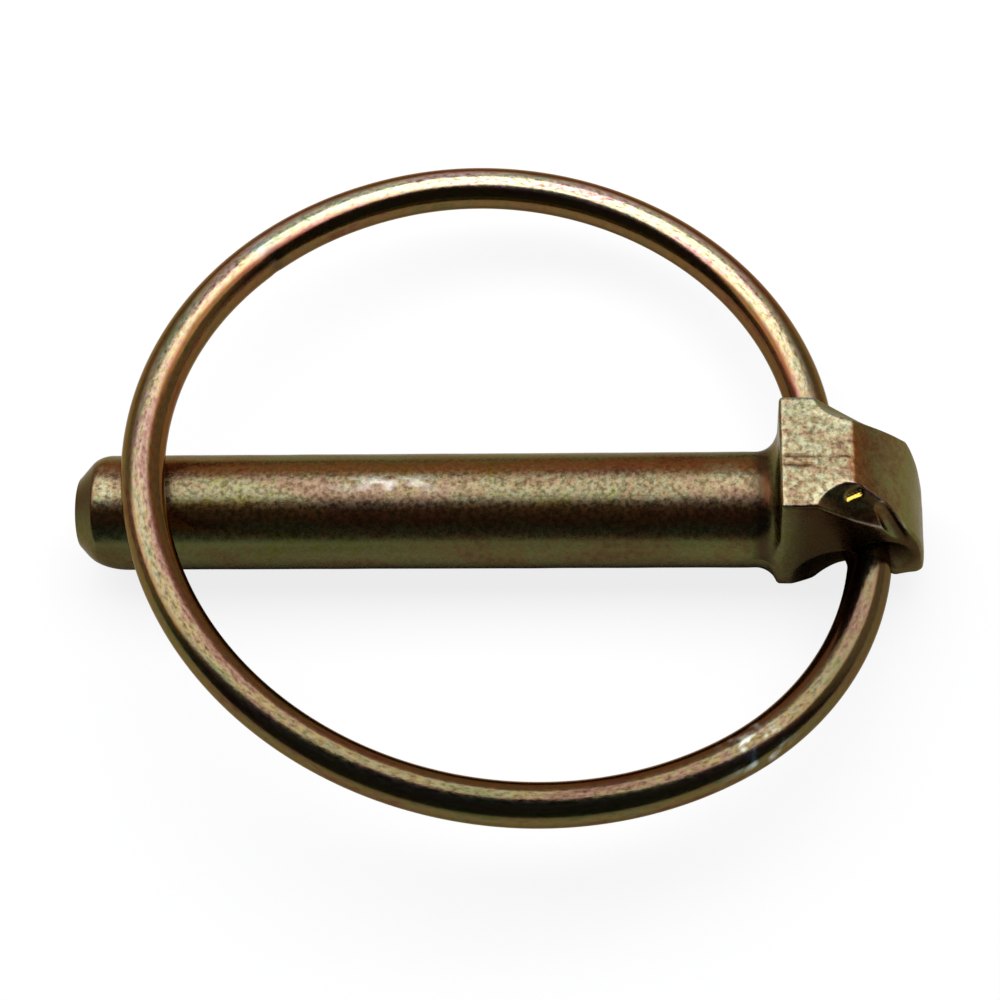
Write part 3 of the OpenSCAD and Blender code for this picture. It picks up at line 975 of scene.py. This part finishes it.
@dataclass
class SnapRing:
    """The open ring of round spring wire, with both ends bent into the head."""

    shoulder: float = 1.5
    wire_r: float = 1.495
    reach: float = 43.15
    rest_gap: float = 0.05
    shank_r: float = 4.0
    crossing_angle: float = 4.3
    back_swell: float = 1.82
    front_swell: float = 1.1
    back_end: Pair = (2.68, 5.2)
    front_end: Pair = (6.25, 4.2)
    back_bend: float = 17.8
    front_bend: float = 28.4
    bend_r: float = 3.0
    end_space: float = 1.0
    end_points: int = 12
    around: int = 72
    step: float = 0.3
    # Places along the wire of the nick, the bluish patch and the pale spots
    nick_at: float = 58.4
    nick_len: float = 0.4
    nick_depth: float = 0.05
    blue_at: float = 58.8
    spots_at: float = 134.6
    finish: YellowZinc = WIRE_FINISH

    def arc(self, centre: Array, r: float, start: float, sweep: float) -> Array:
        """Points along a flat arc, spaced by about the step.

        Args:
            centre: Centre of the arc.
            r: Its radius.
            start: Angle at which it starts, in degrees.
            sweep: Angle that it turns through, in degrees.

        Returns:
            Points, one row each.
        """
        count = max(3, int(abs(radians(sweep)) * r / self.step) + 1)
        angle = np.radians(np.linspace(start, start + sweep, count))
        return centre + r * np.stack([np.cos(angle), np.sin(angle)], axis=1)

    def half(
        self, side: int, crossing: Array, inward: Array, reach: float, bend: float, swell: float
    ) -> Array:
        """Middle line of one half of the ring, from the crossing to its end.

        Formula: two arcs that touch without a kink, a short bend and a straight end
        on the hinge. The second arc's radius follows from the places of both ends.

        Args:
            side: 1 for the back half and -1 for the front half.
            crossing: Where the ring crosses the shank, in its flat frame.
            inward: Direction from the crossing to the first arc's centre.
            reach: Distance along the hinge from the axis to the bend.
            bend: Angle of the end's bend in degrees.
            swell: Extra radius of the first arc beyond half its span.

        Returns:
            Points, one row each.
        """
        b = radians(bend)
        top = side * (reach - self.bend_r * tan(b / 2))
        end = np.array([side * self.bend_r * (1 - cos(b)), top + side * self.bend_r * sin(b)])
        square = np.array([-cos(b), sin(b)])
        r1 = float(np.linalg.norm(end - crossing)) / 2 + swell
        c1 = crossing + r1 * inward
        d = end - c1
        r2 = (r1 * r1 - d @ d) / (2 * (d @ square + r1))
        c2 = end + r2 * square
        gap = c2 - c1
        meet = c1 + r1 * copysign(1, r1 - r2) * gap / np.linalg.norm(gap)

        def angle(v: Array) -> float:
            """Angle of a direction in degrees."""
            return degrees(atan2(v[1], v[0]))

        def sweep(a: float, c: float) -> float:
            """Turn from one angle to another, away from the crossing."""
            return -side * ((side * (a - c)) % 360)

        a0, a1 = angle(crossing - c1), angle(meet - c1)
        a2, a3 = angle(meet - c2), angle(end - c2)
        corner = np.array([side * self.bend_r, top])
        begin, stop = angle(end - corner), 180.0 if side > 0 else 0.0
        return np.concatenate(
            [
                self.arc(c1, r1, a0, sweep(a0, a1))[:-1],
                self.arc(c2, r2, a2, sweep(a2, a3))[:-1],
                self.arc(corner, self.bend_r, begin, stop - begin)[:-1],
                np.linspace([0.0, top], [0.0, side * self.end_space / 2], self.end_points),
            ]
        )

    def middle_line(self) -> tuple[Array, float, float, float]:
        """Middle line of the whole wire in the ring's flat frame.

        Returns:
            The points, the hinge's place along the shank and its slant, and the
            angle at which the ring rests.
        """
        span = np.array([self.front_end[0] - self.back_end[0], self.front_end[1] + self.back_end[1]])
        slant = atan2(span[0], span[1])
        hinge = self.back_end[0] + span[0] * self.back_end[1] / span[1]
        up = self.shank_r + self.wire_r + self.rest_gap
        run = hinge + self.reach
        flat = -hypot(run * cos(slant), up)
        crossing = np.array([flat, run * sin(slant)])
        turn = radians(self.crossing_angle) - slant
        inward = np.array([cos(turn), sin(turn)])
        back, front = (
            self.half(side, crossing, inward, reach / cos(slant), bend, swell)
            for side, reach, bend, swell in (
                (1, self.back_end[1], self.back_bend, self.back_swell),
                (-1, self.front_end[1], self.front_bend, self.front_swell),
            )
        )
        line = np.concatenate([back[::-1], front[1:]])
        return line, hinge + self.shoulder, slant, asin(up / -flat)

    def skin(self) -> tuple[Array, Array]:
        """Carry a circle along the middle line.

        Formula: at each point the circle stands square to the line, spanned by the
        line's side direction and the flat frame's normal. The flat frame is then
        turned by the rest angle and the hinge's slant and moved to the hinge.

        Returns:
            Grid of points and the map in millimetres along and round the wire.
        """
        line, hinge, slant, rest = self.middle_line()
        way = np.gradient(line, axis=0)
        way /= np.linalg.norm(way, axis=1, keepdims=True)
        side = np.stack([way[:, 1], -way[:, 0]], axis=1)
        length = wire_length(line)[:, None]
        turn = np.linspace(0, 2 * pi, self.around, endpoint=False)
        nick = self.nick_depth * bell(length, self.nick_at, self.nick_len) * np.clip(-np.cos(turn), 0, 1)
        r = self.wire_r - nick
        x = line[:, :1] + side[:, :1] * r * np.cos(turn)
        y = line[:, 1:] + side[:, 1:] * r * np.cos(turn)
        flat = np.stack([x, y, r * np.sin(turn)], axis=-1)
        c, s = cos(rest), sin(rest)
        tilt = np.array([[c, 0, s], [0, 1, 0], [-s, 0, c]])
        c, s = cos(slant), sin(slant)
        swing = np.array([[c, -s, 0], [s, c, 0], [0, 0, 1]])
        points = flat @ (swing @ tilt).T + np.array([hinge, 0, 0])
        around = np.abs(np.linspace(-1, 1, self.around, endpoint=False)) * pi * self.wire_r
        return points, np.stack(np.broadcast_arrays(length, around), axis=-1)

    def film_and_light(self, p: Array) -> dict[str, Array]:
        """How the passivation and painted light and shade change along and round the wire.

        Args:
            p: Grid of points, rows by columns by 3.

        Returns:
            The values that FILM_AND_LIGHT_KEYS names, apart from "straw".
        """
        line = p.mean(axis=1, keepdims=True)
        normal = (p - line) / self.wire_r
        middle = line - line.mean(axis=0, keepdims=True)
        middle /= np.linalg.norm(middle, axis=2, keepdims=True)
        inner = -(normal * middle).sum(axis=2)
        tilt = np.arccos(np.clip(normal @ PAINTED_LIGHT_UP, -1, 1)) / pi
        length = wire_length(line[:, 0])[:, None]
        # Warm on slopes that face the ring's middle or the back, and along its back
        warm = 0.4 + 0.5 * inner + 0.7 * normal[..., 1] + 0.2 * line[..., 1] / 26.0
        warm *= rise(tilt, 0.08, 0.08)
        # Darker on the legs beside the head, and in the nick
        darkening = 0.55 * rise(line[..., 0], 1.0, 6.0) + 0 * warm
        nick = bell(length, self.nick_at, 1.5 * self.nick_len) * np.clip(inner, 0, 1)
        # Pale in one patch on top beside the nick, and in small spots
        blue = bell(length, self.blue_at, 0.9) * np.clip(1 - tilt / 0.2, 0, 1)
        spots = np.clip(lattice_noise(p.reshape(-1, 3), 0.4, 17) * 3, 0, 1).reshape(warm.shape)
        spots *= bell(length, self.spots_at, 1.6)
        return {
            "pale": np.maximum(spots, blue),
            "shade": np.maximum(darkening, nick),
            "warm": np.clip(warm, 0, 1),
            "bare": np.maximum(0.15 * spots, 0.3 * blue),
        }

    def build(self) -> bpy.types.Object:
        """Make the wire's mesh and dress it."""
        points, uv = self.skin()
        return closed_grid("snap_ring_wire", points, self.film_and_light(points), self.finish, uv)


# ---------------------------------------- the studio


@dataclass
class Studio:
    """The pale floor, the soft lights and the camera."""

    floor_z: float = -4.56
    floor_half_m: float = 3.0
    # Share of the floor's own white that only the camera sees, beside its shadow
    floor_glow: float = 0.8
    lamp_at_m: Triple = (-0.065, 0.042, 0.138)
    lamp_size_m: Pair = (0.47, 0.126)
    lamp_watts: float = 0.44
    eye: Triple = (-4.75, -104.39, 172.42)
    right: Triple = (0.99797, 0.02851, -0.05696)
    up: Triple = (0.00534, 0.85365, 0.52081)
    toward: Triple = (0.06347, -0.52006, 0.85177)
    lens_mm: float = 105.0
    sensor_mm: float = 36.0

    def floor(self) -> None:
        """Lay a large pale floor under the object."""
        mesh = bpy.data.meshes.new("floor")
        s, z = self.floor_half_m, self.floor_z * MM
        mesh.from_pydata([(-s, -s, z), (s, -s, z), (s, s, z), (-s, s, z)], [], [(0, 1, 2, 3)])
        obj = bpy.data.objects.new("floor", mesh)
        bpy.context.scene.collection.objects.link(obj)
        # Matt white board: no gloss, so only a soft grey shadow shows on it. It stays
        # white to the camera alone and throws no more light on the object.
        mat = bpy.data.materials.new("pale_floor")
        mat.use_nodes = True
        tree = mat.node_tree
        tree.nodes.clear()
        matt = node(tree, "BsdfDiffuse", {"Color": linear("#f4f4f4")})
        white = node(tree, "Emission", {"Color": linear("#ffffff"), "Strength": 1.03})
        seen = node(tree, "LightPath").outputs["Is Camera Ray"]
        share = node(tree, "Math", {0: seen, 1: self.floor_glow}, operation="MULTIPLY")
        both = node(tree, "MixShader", {0: share, 1: matt, 2: white})
        node(tree, "OutputMaterial", {"Surface": both})
        mesh.materials.append(mat)

    def softbox(self) -> None:
        """Hang the soft rectangular lamp, which faces the pin's axis."""
        data = bpy.data.lights.new("overhead_softbox", "AREA")
        data.shape = "RECTANGLE"
        data.size, data.size_y = self.lamp_size_m
        data.energy = self.lamp_watts
        obj = bpy.data.objects.new("overhead_softbox", data)
        bpy.context.scene.collection.objects.link(obj)
        obj.location = self.lamp_at_m
        to_axis = Vector((0.0, -self.lamp_at_m[1], -self.lamp_at_m[2]))
        obj.rotation_euler = to_axis.to_track_quat("-Z", "Y").to_euler()

    def world(self) -> None:
        """Light the room from behind, so that its dim front shows as dark bands in the metal.

        Formula: the sky's brightness rises smoothly from a dim, cool front to the back.
        """
        world = bpy.data.worlds.new("room")
        world.use_nodes = True
        tree = world.node_tree
        tree.nodes.clear()
        way = node(tree, "TexCoord").outputs["Generated"]
        depth = node(tree, "SeparateXYZ", {0: way}).outputs["Y"]
        level = node(
            tree, "MapRange", {"Value": depth, "From Min": -0.25, "From Max": 0.3},
            interpolation_type="SMOOTHSTEP",
        )
        tone = node(tree, "ValToRGB", {"Fac": level}, ((0.0, "#384452"), (1.0, "#cdcdcd")))
        back = node(tree, "Background", {"Color": tone, "Strength": 1.0})
        node(tree, "OutputWorld", {"Surface": back})
        bpy.context.scene.world = world

    def camera(self) -> None:
        """Place the camera where the photograph was taken from, with a longer lens."""
        data = bpy.data.cameras.new("camera")
        data.lens = self.lens_mm
        data.sensor_width = self.sensor_mm
        data.clip_start, data.clip_end = 0.01, 20.0
        obj = bpy.data.objects.new("camera", data)
        bpy.context.scene.collection.objects.link(obj)
        axes = np.stack([self.right, self.up, self.toward], axis=1)
        place = Matrix(axes.tolist()).to_4x4()
        place.translation = Vector(self.eye) * MM
        obj.matrix_world = place
        bpy.context.scene.camera = obj

    def build(self) -> None:
        """Set up floor, lamp, room and camera."""
        self.floor()
        self.softbox()
        self.world()
        self.camera()
        bpy.context.scene.view_settings.view_transform = "Standard"


def main() -> None:
    """Build the pin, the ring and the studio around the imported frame."""
    logging.basicConfig(level=logging.INFO, format="%(name)s: %(message)s")
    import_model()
    pieces = (
        (Head().build(), "pin", "forging"),
        (Shank().build(), "pin", "forging"),
        (SnapRing().build(), "ring", "wire"),
    )
    for piece, body, slot in pieces:
        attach(piece, body)
        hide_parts(body)
        log.info("%s: %d faces", piece.name, len(piece.data.polygons))
    Studio().build()


if __name__ == "__main__":
    main()
